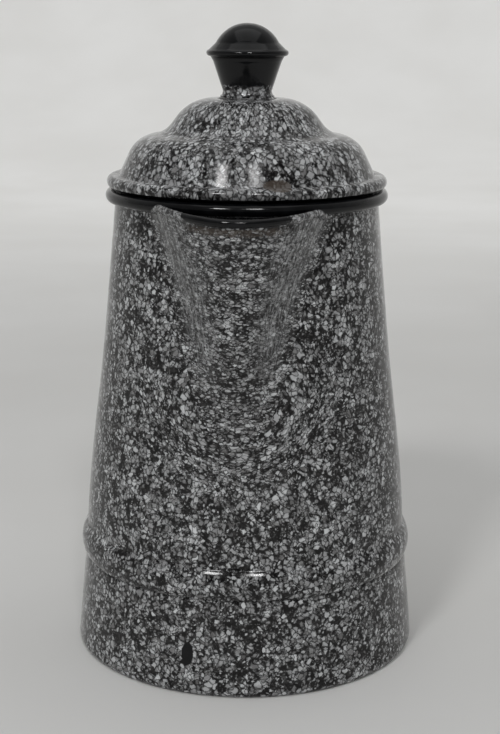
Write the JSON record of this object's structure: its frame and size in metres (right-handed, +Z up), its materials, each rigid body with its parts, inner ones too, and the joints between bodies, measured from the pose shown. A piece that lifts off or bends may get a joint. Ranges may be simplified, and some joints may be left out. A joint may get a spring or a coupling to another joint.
{
  "type": "coffee percolator",
  "caption": "Tapered enamelled steel camping percolator with a lip spout, hinged domed lid with a black knob, strap handle, and a lift-out pump tube with a perforated basket.",
  "frame": {"origin": "centre of the flat base, on the surface that the pot stands on", "axes": "+Z up along the pot's axis, -Y from the axis towards the spout, +Y towards the handle and lid hinge"},
  "size_m": [0.1424, 0.1812, 0.2563],
  "materials": {
    "mottled_enamel": "glossy enamel, dense grey mottle on near-black",
    "black_enamel": "glossy black enamel",
    "steel": "plain steel wire, slightly dulled",
    "aluminium": "satin spun aluminium"
  },
  "bodies": {
    "pot": {"pot_body": "mottled_enamel", "base_pan": "mottled_enamel", "rim_wire": "steel", "spout": "mottled_enamel", "handle": "black_enamel", "handle_upper_rivets": "black_enamel", "handle_lower_rivets": "black_enamel", "hinge_bracket": "black_enamel", "hinge_bracket_rivets": "black_enamel", "hinge_pin": "steel"},
    "lid": {"lid_shell": "mottled_enamel", "lid_wire": "steel", "lid_collar": "black_enamel", "hinge_leaf": "black_enamel", "hinge_leaf_rivets": "black_enamel", "knob_cup": "black_enamel", "knob_cap": "black_enamel", "knob_rivet": "steel"},
    "pump": {"pump_tube": "aluminium", "pump_bell": "aluminium", "basket_stop": "aluminium"},
    "basket": {"basket": "aluminium", "basket_sleeve": "aluminium"},
    "spreader": {"spreader": "aluminium"}
  },
  "joints": [
    {"name": "lid_hinge", "type": "hinge", "parent": "pot", "child": "lid", "pos_m": [0, 0.0618, 0.1914], "axis": [-1, 0, 0], "range_deg": [0, 105]},
    {"name": "pump_lift", "type": "slide", "parent": "pot", "child": "pump", "axis": [0, 0, 1], "range_m": [0, 0.008]},
    {"name": "basket_lift", "type": "slide", "parent": "pump", "child": "basket", "axis": [0, 0, 1], "range_m": [0, 0.007]},
    {"name": "spreader_lift", "type": "slide", "parent": "basket", "child": "spreader", "axis": [0, 0, 1], "range_m": [0, 0.006]}
  ]
}
